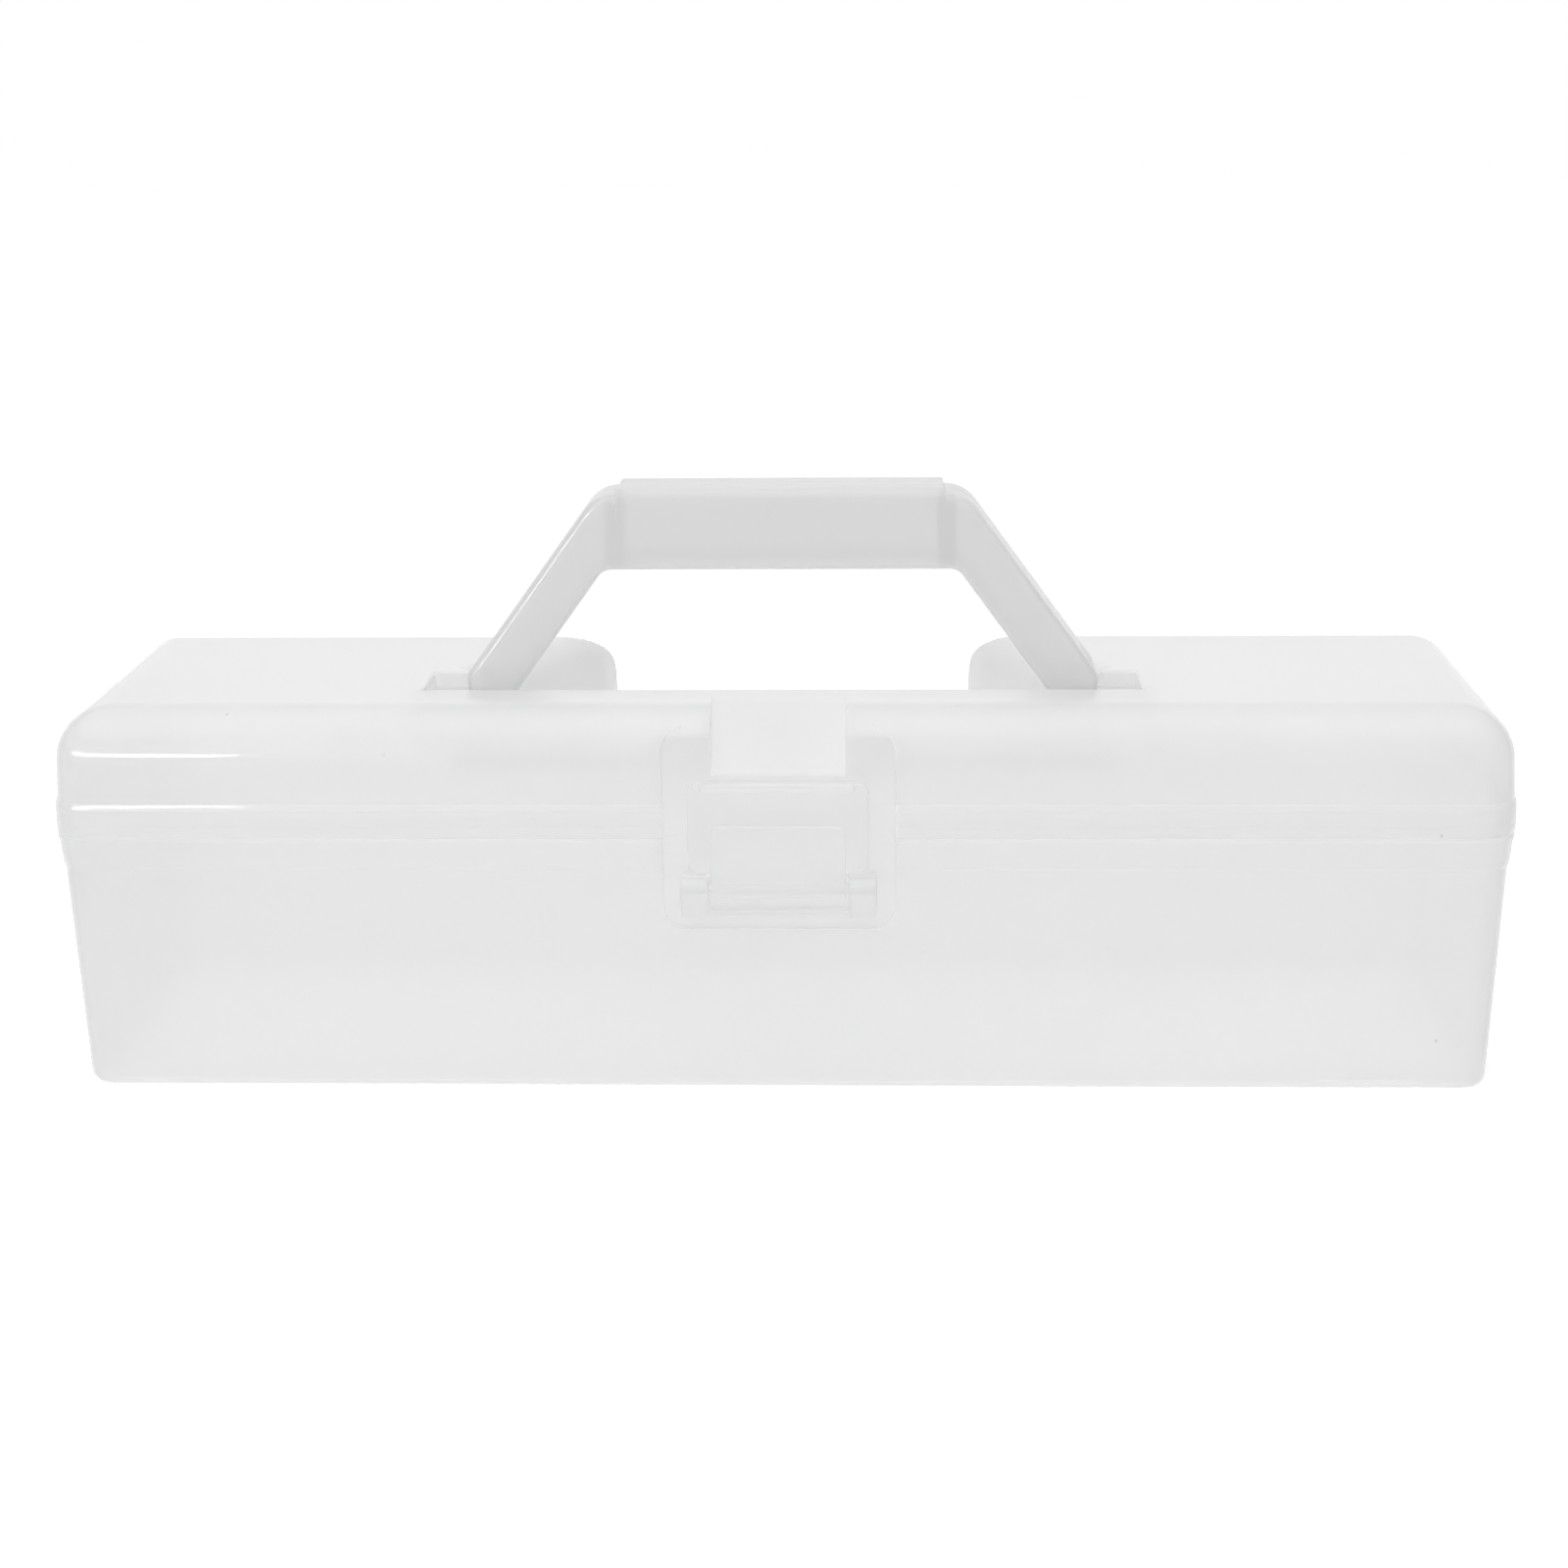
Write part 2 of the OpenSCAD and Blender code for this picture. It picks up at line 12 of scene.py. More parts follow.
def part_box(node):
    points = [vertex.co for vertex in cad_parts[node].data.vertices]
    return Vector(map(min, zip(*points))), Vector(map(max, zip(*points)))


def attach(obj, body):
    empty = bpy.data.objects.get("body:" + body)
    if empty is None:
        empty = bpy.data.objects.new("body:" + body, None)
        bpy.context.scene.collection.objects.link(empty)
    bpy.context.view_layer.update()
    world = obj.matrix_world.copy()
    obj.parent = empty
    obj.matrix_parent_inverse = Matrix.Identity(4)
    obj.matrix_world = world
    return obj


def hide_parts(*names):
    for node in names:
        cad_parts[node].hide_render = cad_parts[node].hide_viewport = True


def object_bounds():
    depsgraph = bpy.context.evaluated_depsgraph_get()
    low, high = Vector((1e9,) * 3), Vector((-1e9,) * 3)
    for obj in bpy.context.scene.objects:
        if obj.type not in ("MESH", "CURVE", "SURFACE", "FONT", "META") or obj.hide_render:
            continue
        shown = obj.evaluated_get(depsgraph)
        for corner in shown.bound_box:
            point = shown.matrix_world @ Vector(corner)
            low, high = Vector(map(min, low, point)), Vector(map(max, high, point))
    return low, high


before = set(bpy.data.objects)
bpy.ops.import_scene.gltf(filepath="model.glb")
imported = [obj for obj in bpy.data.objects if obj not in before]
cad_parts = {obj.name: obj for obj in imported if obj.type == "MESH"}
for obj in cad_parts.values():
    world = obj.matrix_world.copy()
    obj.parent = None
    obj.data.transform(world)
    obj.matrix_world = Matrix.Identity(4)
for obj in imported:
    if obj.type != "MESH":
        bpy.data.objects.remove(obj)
cad_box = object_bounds()
MM = 0.001

# ---------------------------------------------------------------------------------------------
# The tub: one injection moulding of natural polypropylene, 1.8 mm thick. Its walls lean in to the
# floor and flare out under the rim, and a thin tongue stands up inside the lid.

half_length = cad_box[1][0] / MM
half_depth = 55.0
wall = 1.8
rim_z = 70.0
seat_z = 69.95
corner_radius = 11.0
flat_inset = 20.0
floor_z = 2.0
bottom_radius = 3.4
shoulder_z = 61.0
shoulder_inset = 1.6
foot_inset = 4.4
rim_inset = 0.1
tongue_inset = 2.4
tongue_thickness = 1.5
tongue_z = 75.0
bay_half = 30.0
bay_corner = 6.0
bay_low = 45.0
bay_high = 98.4
bay_y = -51.5
tongue_gap_half = 33.0
past_side = 1e3
still_low = 40.0
still_high = 110.0
end_station = 165.0
corner_steps = 9


def quarter(start, end, steps=7):
    """Angles from start to end degrees, in radians, for the stations of an arc."""
    return np.radians(np.linspace(start, end, steps))


def lines(low, high, step, edges, reach=1.2):
    """Grid lines: an even spacing, and a pile of close lines on both sides of each edge. The pile
    is spaced as reach * (1 - cos angle), so that a small rounding beside the edge comes out round."""
    pile = reach * (1 - np.cos(quarter(0, 90, 6)))
    pile[0] = 0.01
    even = np.linspace(low, high, int(round((high - low) / step)) + 1)
    piles = [edge + side * pile for edge in edges for side in (-1, 1)]
    every = np.sort(np.concatenate([even, *piles]))
    every = every[(every >= low) & (every <= high)]
    keep = np.concatenate([[True], np.diff(every) > 0.012])
    return every[keep]


def mirrored(half):
    """Stations of one half, and the same with the sign turned, as one rising row."""
    return np.concatenate([-half[half > 0][::-1], half])


def carry(u, knots, places):
    """Moves stations so that each knot lands on its place, and what is between moves in proportion.
    A place may be an array that differs from point to point."""
    out = np.array(u, dtype=float)
    size = np.abs(u)
    for k0, k1, p0, p1 in zip(knots[:-1], knots[1:], places[:-1], places[1:]):
        inside = (size >= k0) & (size <= k1)
        share = (size - k0) / (k1 - k0)
        out = np.where(inside, np.sign(u) * (p0 + (p1 - p0) * share), out)
    return out


def plan_radius(inset):
    """Radius of the upright corner of a ring: it shrinks with the square of what is left of the way
    to the flat middle, where the ring is a plain rectangle."""
    return corner_radius * (1 - inset / flat_inset) ** 2


def ring_stations(across, along):
    """Stations once round a ring: side number, place along the side and corner angle."""
    turn = quarter(0, 90, corner_steps)[1:-1]
    n, m, t = len(across), len(along), len(turn)
    right_end, left_end = np.full(t + m + t, past_side), np.full(t + m + t, -past_side)
    u = np.concatenate([across, right_end, across[::-1], left_end])
    v = np.concatenate([np.full(n, -past_side), turn - math.pi / 2, along, turn,
                        np.full(n, past_side), turn + math.pi / 2, along[::-1], turn + math.pi])
    side = np.concatenate([np.full(n, 0), np.full(t, 1), np.full(m, 2), np.full(t, 3),
                           np.full(n, 4), np.full(t, 5), np.full(m, 6), np.full(t, 7)])
    return side, u, v


def ring(inset, z, grown, side, u, v, place_x):
    """One closed ring round the box: straight sides set in by the inset, joined by arcs of plan_radius.
    grown is 0 on the outer face and one wall on the inner face."""
    radius = plan_radius(inset)
    core_x = half_length - inset - radius
    core_y = half_depth - inset - radius
    x = np.zeros(len(u))
    y = np.zeros(len(u))
    front, back = side == 0, side == 4
    x[front] = place_x(u[front], -half_depth + inset, z, grown, core_x)
    y[front] = -half_depth + inset
    x[back] = place_x(u[back], half_depth - inset, z, grown, core_x)
    y[back] = half_depth - inset
    for right, sign in ((2, 1), (6, -1)):
        here = side == right
        x[here] = sign * (half_length - inset)
        y[here] = v[here] * core_y / (half_depth - flat_inset)
    for number, sx, sy in ((1, 1, -1), (3, 1, 1), (5, -1, 1), (7, -1, -1)):
        here = side == number
        x[here] = sx * core_x + radius * np.cos(v[here])
        y[here] = sy * core_y + radius * np.sin(v[here])
    return np.stack([x, y, np.full(len(u), float(z))], axis=1)


def grid_faces(rows, columns, closed=False):
    """Four-sided faces of a grid of rows * columns points, with the last column joined to the first
    where the rows are closed."""
    r = np.arange(rows - 1)[:, None] * columns
    last = columns if closed else columns - 1
    c = np.arange(last)[None, :]
    d = (c + 1) % columns
    return np.stack([r + c, r + d, r + columns + d, r + columns + c], axis=2).reshape(-1, 4)


def joined(parts):
    """Several (points, faces) parts as one, with the faces renumbered."""
    points, faces, count = [], [], 0
    for part_points, part_faces in parts:
        points.append(part_points)
        faces += [tuple(i + count for i in face) for face in part_faces]
        count += len(part_points)
    return np.concatenate(points), faces


def make_piece(name, parts, sharp=32):
    """Each part is merged where its points meet and turned to face outwards. The parts then become
    one mesh, smooth except where faces meet at more than the sharp angle."""
    whole = bmesh.new()
    for points, faces in parts:
        mesh = bpy.data.meshes.new("part")
        mesh.from_pydata((np.asarray(points) * MM).tolist(), [], [tuple(int(i) for i in f) for f in faces])
        part = bmesh.new()
        part.from_mesh(mesh)
        bmesh.ops.remove_doubles(part, verts=part.verts, dist=0.003 * MM)
        bmesh.ops.dissolve_degenerate(part, edges=part.edges, dist=0.003 * MM)
        bmesh.ops.recalc_face_normals(part, faces=part.faces)
        part.to_mesh(mesh)
        part.free()
        whole.from_mesh(mesh)
        bpy.data.meshes.remove(mesh)
    mesh = bpy.data.meshes.new(name)
    whole.to_mesh(mesh)
    whole.free()
    mesh.shade_smooth()
    mesh.set_sharp_from_angle(angle=math.radians(sharp))
    piece = bpy.data.objects.new(name, mesh)
    bpy.context.scene.collection.objects.link(piece)
    return piece


def moulded(outline, low, high, edge, axis="x"):
    """A closed solid: a flat outline carried from low to high along an axis, drawn in along its
    corner directions near both ends, so that its edges are quarter rounds of the edge radius."""
    outline = np.asarray(outline, dtype=float)
    ahead = np.roll(outline, -1, axis=0) - outline
    ahead /= np.linalg.norm(ahead, axis=1)[:, None]
    behind = np.roll(ahead, 1, axis=0)
    inward = np.stack([-(ahead + behind)[:, 1], (ahead + behind)[:, 0]], axis=1)
    inward /= np.maximum((inward ** 2).sum(axis=1), 1e-9)[:, None] / 2
    turn = quarter(0, 90, 5)
    insets = np.concatenate([edge * (1 - np.sin(turn)), edge * (1 - np.cos(turn))])
    depths = np.concatenate([low + edge * (1 - np.cos(turn)), high - edge * (1 - np.sin(turn))])
    rings = outline[None] + inward[None] * insets[:, None, None]
    count = len(outline)
    flat = rings.reshape(-1, 2)
    along = np.repeat(depths, count)
    middle = outline.mean(axis=0)
    flat = np.concatenate([flat, [middle, middle]])
    along = np.concatenate([along, [low, high]])
    points = {"x": np.stack([along, flat[:, 0], flat[:, 1]], axis=1),
              "y": np.stack([flat[:, 0], along, flat[:, 1]], axis=1)}[axis]
    faces = grid_faces(len(depths), count, closed=True).tolist()
    last = (len(depths) - 1) * count
    for i in range(count):
        j = (i + 1) % count
        faces.append((len(points) - 2, i, j))
        faces.append((last + i, len(points) - 1, last + j))
    return points, faces


def round_outline(low, high, radius, steps=6):
    """Corners of a rectangle as quarter arcs, counter-clockwise."""
    parts = []
    for sx, sy, start in ((1, -1, -90), (1, 1, 0), (-1, 1, 90), (-1, -1, 180)):
        x = (high[0] if sx > 0 else low[0]) - sx * radius
        y = (high[1] if sy > 0 else low[1]) - sy * radius
        angle = quarter(start, start + 90, steps)
        parts.append(np.stack([x + radius * np.cos(angle), y + radius * np.sin(angle)], axis=1))
    return np.concatenate(parts)


def barrel(low, high, y, z, radius, bore=0.0, edge=0.3, steps=40):
    """A round bar along X, or a tube where it has a bore: a closed profile turned about its axis."""
    turn = quarter(0, 90, 4)
    opening, closing = edge * (1 - np.sin(turn)), edge * (1 - np.cos(turn))
    reach = np.concatenate([[bore], radius - opening, radius - closing, [bore]])
    along = np.concatenate([[low], low + closing, high - opening, [high]])
    angle = np.linspace(0, 2 * math.pi, steps, endpoint=False)
    points = np.stack([np.repeat(along, steps), y + np.outer(reach, np.cos(angle)).ravel(),
                       z + np.outer(reach, np.sin(angle)).ravel()], axis=1)
    faces = grid_faces(len(reach), steps, closed=True).tolist()
    if bore > 0:
        last = (len(reach) - 1) * steps
        faces += [(i, (i + 1) % steps, last + (i + 1) % steps, last + i) for i in range(steps)]
    return points, faces


def bay_edge(z, grown, middle, upward):
    """Half width of the latch bay at a height: full width, narrowing by a quarter circle at its end."""
    reach = bay_corner + grown
    past_middle = np.clip((z - middle) * (1 if upward else -1), 0, reach)
    return bay_half - bay_corner + np.sqrt(reach ** 2 - past_middle ** 2)


def bay_floor(u, y, face_y, depth_y, radius=0.6):
    """Depth of the front face beside and inside the bay: flat inside its edge, a quarter round outside."""
    beside = np.abs(u) - bay_half
    share = np.clip(beside, 0, radius)
    rounded = face_y + radius - np.sqrt(radius ** 2 - (radius - share) ** 2)
    return np.where(beside < 0, np.maximum(y, depth_y), np.where(beside < radius, np.maximum(y, rounded), y))


tub_across = mirrored(np.concatenate([lines(0, still_low, 6, (bay_half, tongue_gap_half)),
                                      np.linspace(still_low + 8, end_station, 15)]))
tub_along = np.linspace(-(half_depth - flat_inset), half_depth - flat_inset, 9)


def tub_place_x(u, y, z, grown, core_x):
    """Across the front, stations follow the rounded lower corners of the bay. Those between still_low
    and still_high stay where they are."""
    edge = bay_edge(z, grown, bay_low + bay_corner, upward=False) if y < 0 else bay_half
    return carry(u, (0, bay_half, still_low, still_high, end_station),
                 (0, edge, still_low, still_high, core_x))


def bay_corner_heights(low, radius, start, end):
    """Heights of the rings that follow the bay's rounded lower corners."""
    return [low + radius * (1 - math.cos(t)) + 0.05 for t in quarter(start, end, 8)]


def tub_profile():
    """(inset, height, grown) from the middle of the underside up to the rim, over the tongue and down
    to the middle of the floor."""
    turn = quarter(0, 88, 7)
    foot = foot_inset + bottom_radius
    rows = [(flat_inset, 0, 0)]
    rows += [(foot - bottom_radius * math.sin(t), bottom_radius * (1 - math.cos(t)), 0) for t in turn]
    heights = [10, 20, 30, 38, 42, bay_low - 0.4, bay_low - 0.02, bay_low + 0.02]
    heights += bay_corner_heights(bay_low, bay_corner, 12, 90) + [54, 58, shoulder_z - 0.5]
    lean = (foot_inset - shoulder_inset) / (shoulder_z - bottom_radius)
    rows += [(foot_inset - lean * (z - bottom_radius), z, 0) for z in heights]
    rows += [(shoulder_inset, shoulder_z, 0), (shoulder_inset - 0.35, shoulder_z + 0.5, 0),
             (shoulder_inset - 0.5, shoulder_z + 1.2, 0)]
    rows += [(0.85, 64.2, 0), (0.55, 67.4, 0), (rim_inset, 69.1, 0), (rim_inset + 0.15, 69.5, 0),
             (rim_inset + 0.5, seat_z - 0.12, 0), (rim_inset + 0.9, seat_z, 0)]
    rows += [(tongue_inset, seat_z, 0), (tongue_inset, tongue_z - 0.4, 0),
             (tongue_inset + 0.12, tongue_z - 0.12, 0), (tongue_inset + 0.4, tongue_z, 0)]
    inner = tongue_inset + tongue_thickness
    rows += [(inner - 0.4, tongue_z, wall), (inner, tongue_z - 0.4, wall), (inner, seat_z, wall),
             (inner, 67, wall)]
    low_in = bay_low - wall
    down = [shoulder_z, 58, 54] + bay_corner_heights(low_in, bay_corner + wall, 90, 12)
    down += [low_in + 0.02, low_in - 0.02, low_in - 0.6, 36, 28, 20, 10]
    rows += [(foot_inset + wall - lean * (z - bottom_radius), z, wall) for z in down]
    inner_radius = bottom_radius - wall
    rows += [(foot - inner_radius * math.sin(t), floor_z + inner_radius * (1 - math.cos(t)), wall)
             for t in quarter(88, 0, 6)]
    rows += [(flat_inset, floor_z, wall)]
    return rows


def tub_points(inset, z, grown, side, u, v):
    """A ring of the tub with the latch bay pressed into its front, and no tongue in front of the bay."""
    points = ring(inset, z, grown, side, u, v, tub_place_x)
    front = side == 0
    low = bay_low - grown
    if low < z <= tongue_z:
        face_y = -half_depth + inset
        points[front, 1] = bay_floor(u[front], points[front, 1], face_y, bay_y + grown)
    cut = front & (np.abs(u) < tongue_gap_half)
    points[cut, 2] = np.minimum(points[cut, 2], seat_z)
    return points


def shell(profile, ring_points, across, along):
    """Rings carried through a profile: one skin, open where the first and the last ring lie."""
    side, u, v = ring_stations(across, along)
    rings = np.stack([ring_points(*row, side, u, v) for row in profile])
    return rings.reshape(-1, 3), grid_faces(len(profile), len(u), closed=True).tolist()


def tub_flat(z):
    """The flat middle of underside or floor, on the same stations as the ring that it closes."""
    core = half_length - flat_inset
    x = tub_place_x(tub_across, 1.0, z, 0, core)
    gx, gy = np.meshgrid(x, tub_along)
    points = np.stack([gx.ravel(), gy.ravel(), np.full(gx.size, float(z))], axis=1)
    return points, grid_faces(len(tub_along), len(x)).tolist()


hinge_y = 58.4
hinge_z = 71.0
hinge_x = 120.0
knuckle_radius = 3.0
knuckle_inner = 9.4
knuckle_outer = 17.4
tub_arm = (65.0, 69.5)
pin_radius = 1.5
latch_pin_y = -55.6
latch_pin_z = 57.0
ear_inner = 18.2
ear_outer = 25.4
ear_radius = 3.0
ear_front = bay_y - 2.0
ear_root = bay_y + 0.8
sill_z = 48.5


def knuckle(low, high, arm_low, arm_high):
    """A hinge barrel with the arm that ties it to the rim."""
    arm = round_outline((half_depth - 1.4, arm_low), (hinge_y, arm_high), 0.4, 3)
    return [barrel(low, high, hinge_y, hinge_z, knuckle_radius, pin_radius), moulded(arm, low, high, 0.3)]


def ear_outline():
    """Side view of an ear: a flank on the bay's back, and a half circle round the latch pin."""
    nose = quarter(90, 210, 14)
    arc = np.stack([latch_pin_y + ear_radius * np.cos(nose), latch_pin_z + ear_radius * np.sin(nose)], axis=1)
    flank = [(ear_front, sill_z), (ear_root, sill_z), (ear_root, latch_pin_z + ear_radius)]
    return np.concatenate([arc, flank])


tub_skin = shell(tub_profile(), tub_points, tub_across, tub_along)
tub_parts = [joined([tub_skin, tub_flat(0.0), tub_flat(floor_z)])]
for mirror_side in (-1, 1):
    ears = sorted((mirror_side * ear_inner, mirror_side * ear_outer))
    tub_parts.append(moulded(ear_outline(), ears[0], ears[1], 0.5))
    for near, far in ((-knuckle_outer, -knuckle_inner), (knuckle_inner, knuckle_outer)):
        ends = sorted((mirror_side * (hinge_x + near), mirror_side * (hinge_x + far)))
        tub_parts += knuckle(ends[0], ends[1], *tub_arm)
sill_outline = round_outline((-ear_outer, sill_z), (ear_outer, sill_z + 2), 0.6)
tub_parts.append(moulded(sill_outline, ear_front, ear_root, 0.5, "y"))
tub = make_piece("tub", tub_parts)


def haze_group():
    """Shader group for moulded polypropylene: soft clouds in the wall and sparse specks, both in
    object coordinates."""
    tree = bpy.data.node_groups.new("moulded_haze", "ShaderNodeTree")
    tree.interface.new_socket(name="Position", in_out="INPUT", socket_type="NodeSocketVector")
    for socket, scale in (("Cloud Scale", 12.0), ("Speck Scale", 70.0)):
        made = tree.interface.new_socket(name=socket, in_out="INPUT", socket_type="NodeSocketFloat")
        made.default_value = scale
    for socket in ("Cloud", "Speck"):
        tree.interface.new_socket(name=socket, in_out="OUTPUT", socket_type="NodeSocketFloat")
    nodes, link = tree.nodes, tree.links.new
    given = nodes.new("NodeGroupInput")
    result = nodes.new("NodeGroupOutput")
    cloud = nodes.new("ShaderNodeTexNoise")
    cloud.inputs["Detail"].default_value = 3.0
    cloud.inputs["Roughness"].default_value = 0.45
    link(given.outputs["Position"], cloud.inputs["Vector"])
    link(given.outputs["Cloud Scale"], cloud.inputs["Scale"])
    soft = nodes.new("ShaderNodeMapRange")
    soft.interpolation_type = "SMOOTHSTEP"
    soft.inputs["From Min"].default_value = 0.25
    soft.inputs["From Max"].default_value = 0.75
    link(cloud.outputs["Fac"], soft.inputs["Value"])
    link(soft.outputs["Result"], result.inputs["Cloud"])
    cells = nodes.new("ShaderNodeTexVoronoi")
    link(given.outputs["Position"], cells.inputs["Vector"])
    link(given.outputs["Speck Scale"], cells.inputs["Scale"])
    dot = nodes.new("ShaderNodeMapRange")
    dot.inputs["From Min"].default_value = 0.045
    dot.inputs["From Max"].default_value = 0.02
    link(cells.outputs["Distance"], dot.inputs["Value"])
    split = nodes.new("ShaderNodeSeparateColor")
    link(cells.outputs["Color"], split.inputs["Color"])
    rare = nodes.new("ShaderNodeMath")
    rare.operation = "GREATER_THAN"
    rare.inputs[1].default_value = 0.72
    link(split.outputs["Red"], rare.inputs[0])
    speck = nodes.new("ShaderNodeMath")
    speck.operation = "MULTIPLY"
    link(dot.outputs["Result"], speck.inputs[0])
    link(rare.outputs["Value"], speck.inputs[1])
    link(speck.outputs["Value"], result.inputs["Speck"])
    return tree


moulded_haze = haze_group()


def milky_plastic(name, pale, deep, rim, clear, body, edge_body, blur):
    """Translucent polypropylene: a wall seen straight on lets 1 - body of the light pass, and seen edge
    on 1 - edge_body. The rest is scattered back in the colours pale and deep, lightened towards rim
    where the wall is seen edge on, which is a painted highlight, and the share clear of it passes
    blurred. Lamps lose less on their way, since the plastic scatters their light onward.
    Clouds in the wall shift whiteness and blur a little, specks sit in it, and a thin coat gives the
    polished face its gloss."""
    material = bpy.data.materials.new(name)
    material.use_nodes = True
    nodes, link = material.node_tree.nodes, material.node_tree.links.new
    shader = nodes["Principled BSDF"]
    shader.inputs["IOR"].default_value = 1.35
    shader.inputs["Transmission Weight"].default_value = clear
    shader.inputs["Specular IOR Level"].default_value = 0.3
    shader.inputs["Coat Weight"].default_value = 0.7
    shader.inputs["Coat Roughness"].default_value = 0.05
    place = nodes.new("ShaderNodeTexCoord")
    haze = nodes.new("ShaderNodeGroup")
    haze.node_tree = moulded_haze
    link(place.outputs["Object"], haze.inputs["Position"])
    tint = nodes.new("ShaderNodeMix")
    tint.data_type = "RGBA"
    tint.inputs["A"].default_value = (*deep, 1)
    tint.inputs["B"].default_value = (*pale, 1)
    link(haze.outputs["Cloud"], tint.inputs["Factor"])
    speck = nodes.new("ShaderNodeMix")
    speck.data_type = "RGBA"
    speck.inputs["B"].default_value = (*(0.75 * c for c in deep), 1)
    link(haze.outputs["Speck"], speck.inputs["Factor"])
    link(tint.outputs["Result"], speck.inputs["A"])
    edge_on = nodes.new("ShaderNodeLayerWeight")
    edge_on.inputs["Blend"].default_value = 0.5
    # Painted highlight: where the surface is seen edge on, the base colour is lightened towards rim.
    edge_highlight_share = nodes.new("ShaderNodeMapRange")
    edge_highlight_share.interpolation_type = "SMOOTHSTEP"
    edge_highlight_share.inputs["From Min"].default_value = 0.45
    edge_highlight_share.inputs["From Max"].default_value = 0.85
    link(edge_on.outputs["Facing"], edge_highlight_share.inputs["Value"])
    painted_edge_highlight = nodes.new("ShaderNodeMix")
    painted_edge_highlight.data_type = "RGBA"
    painted_edge_highlight.inputs["B"].default_value = (*rim, 1)
    link(edge_highlight_share.outputs["Result"], painted_edge_highlight.inputs["Factor"])
    link(speck.outputs["Result"], painted_edge_highlight.inputs["A"])
    link(painted_edge_highlight.outputs["Result"], shader.inputs["Base Color"])
    thickness = nodes.new("ShaderNodeMapRange")
    thickness.interpolation_type = "SMOOTHSTEP"
    thickness.inputs["From Min"].default_value = 0.5
    thickness.inputs["To Min"].default_value = body
    thickness.inputs["To Max"].default_value = edge_body
    link(edge_on.outputs["Facing"], thickness.inputs["Value"])
    ray = nodes.new("ShaderNodeLightPath")
    onward = nodes.new("ShaderNodeMapRange")
    onward.inputs["To Min"].default_value = 1.0
    onward.inputs["To Max"].default_value = 0.38
    link(ray.outputs["Is Shadow Ray"], onward.inputs["Value"])
    veil = nodes.new("ShaderNodeMath")
    veil.operation = "MULTIPLY"
    link(thickness.outputs["Result"], veil.inputs[0])
    link(onward.outputs["Result"], veil.inputs[1])
    link(veil.outputs["Value"], shader.inputs["Alpha"])
    rough = nodes.new("ShaderNodeMapRange")
    rough.inputs["To Min"].default_value = blur
    rough.inputs["To Max"].default_value = blur + 0.06
    link(haze.outputs["Cloud"], rough.inputs["Value"])
    link(rough.outputs["Result"], shader.inputs["Roughness"])
    return material


# The third colour, rim, is a painted highlight: the walls lighten to it where they are seen edge on.
shell_plastic = milky_plastic("natural_polypropylene", (0.97, 0.971, 0.973), (0.965, 0.966, 0.968),
                               (0.985, 0.986, 0.988), clear=0.12, body=0.48, edge_body=0.9, blur=0.3)
tub.data.materials.append(shell_plastic)
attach(tub, "tub")
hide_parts("base_tub")

# ---------------------------------------------------------------------------------------------
# The lid: a second moulding of the same plastic. It has a bead round its rim, a flat strip in front,
# a trough behind it that is open at the back, pockets for the handle's pins, and a thumb scoop.

lid_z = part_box("lid")[1][2] / MM
bead_z = 79.0
bead_step = 0.6
bead_wall = 2.0
top_radius = 14.4
lid_lean = math.radians(3.1)
arc_z = lid_z - top_radius
arc_inset = bead_step + math.tan(lid_lean) * (arc_z - bead_z) + top_radius
strip_back = -26.0
slot_back = -0.487
slot_half = 86.0
wedge_front = 81.0
wedge_slope = 0.546
pillow_radius = 9.0
pillow_run = 10.3
pocket_half = 95.0
pocket_back = -4.4
pocket_z = lid_z - 12.0
trough_z = lid_z - 21.0
scoop_half = 17.4
scoop_path = ((-60.0, 86.0), (-50.5, 86.0), (-46.5, 91.0), (-38.5, 103.2), (60.0, 400.0))
bay_reach = -45.0
scoop_back = -35.0
scoop_edge = 0.5
no_limit = 1e3
groove_heights = (76.9, 73.1)
groove_depth = 0.06
wedge_blend = 0.8
wedge_slant = 1.13

pillow_lines = slot_half + (pocket_half - slot_half) * (1 - np.cos(quarter(0, 90, 11)))[1:-1]
lid_across = np.concatenate([lines(0, still_high, 6, (scoop_half, bay_half, slot_half, pocket_half)),
                             pillow_lines, np.linspace(still_high + 8, end_station, 7)])
lid_across = mirrored(np.unique(np.round(lid_across, 3)))
lid_along = lines(-(half_depth - flat_inset), half_depth - flat_inset, 3.5,
                  (strip_back, pocket_back, slot_back))


def wedge_share(y):
    """0 in front of the legs' slot and 1 behind it, with the smooth change t * t * (3 - 2 * t)."""
    t = np.clip((y - slot_back + wedge_blend) / (2 * wedge_blend), 0, 1)
    return t * t * (3 - 2 * t)


def lid_place_x(u, y, z, grown, core_x):
    """Stations follow the trough's walls, which run in towards the back, and the bay's rounded top.
    Along X a slanted wall is wedge_slant times as thick as across itself."""
    share = wedge_share(y)
    run = np.maximum(y - slot_back, 0)
    narrowed = wedge_front - slot_half - wedge_slope * run + (wedge_slant - 1) * grown
    side_wall = slot_half + grown + share * narrowed
    pocket = (1 - share) * (pocket_half + grown) + share * (side_wall - wedge_slant * grown + pillow_run)
    at_front = np.max(y) < bay_reach
    edge = bay_edge(z, grown, bay_high - bay_corner, upward=True) if at_front else bay_half + grown
    return carry(u, (0, scoop_half, bay_half, slot_half, pocket_half, still_high, end_station),
                 (0, scoop_half + grown, edge, side_wall, pocket, still_high, core_x))


def lid_place_y(v, grown):
    """Lines across the top move with the inner faces of the trough's front wall and the pockets."""
    low, high = -(half_depth - flat_inset), half_depth - flat_inset
    return np.interp(v, (low, strip_back, pocket_back, slot_back + 2, high),
                     (low, strip_back - grown, pocket_back + grown, slot_back + 2, high))


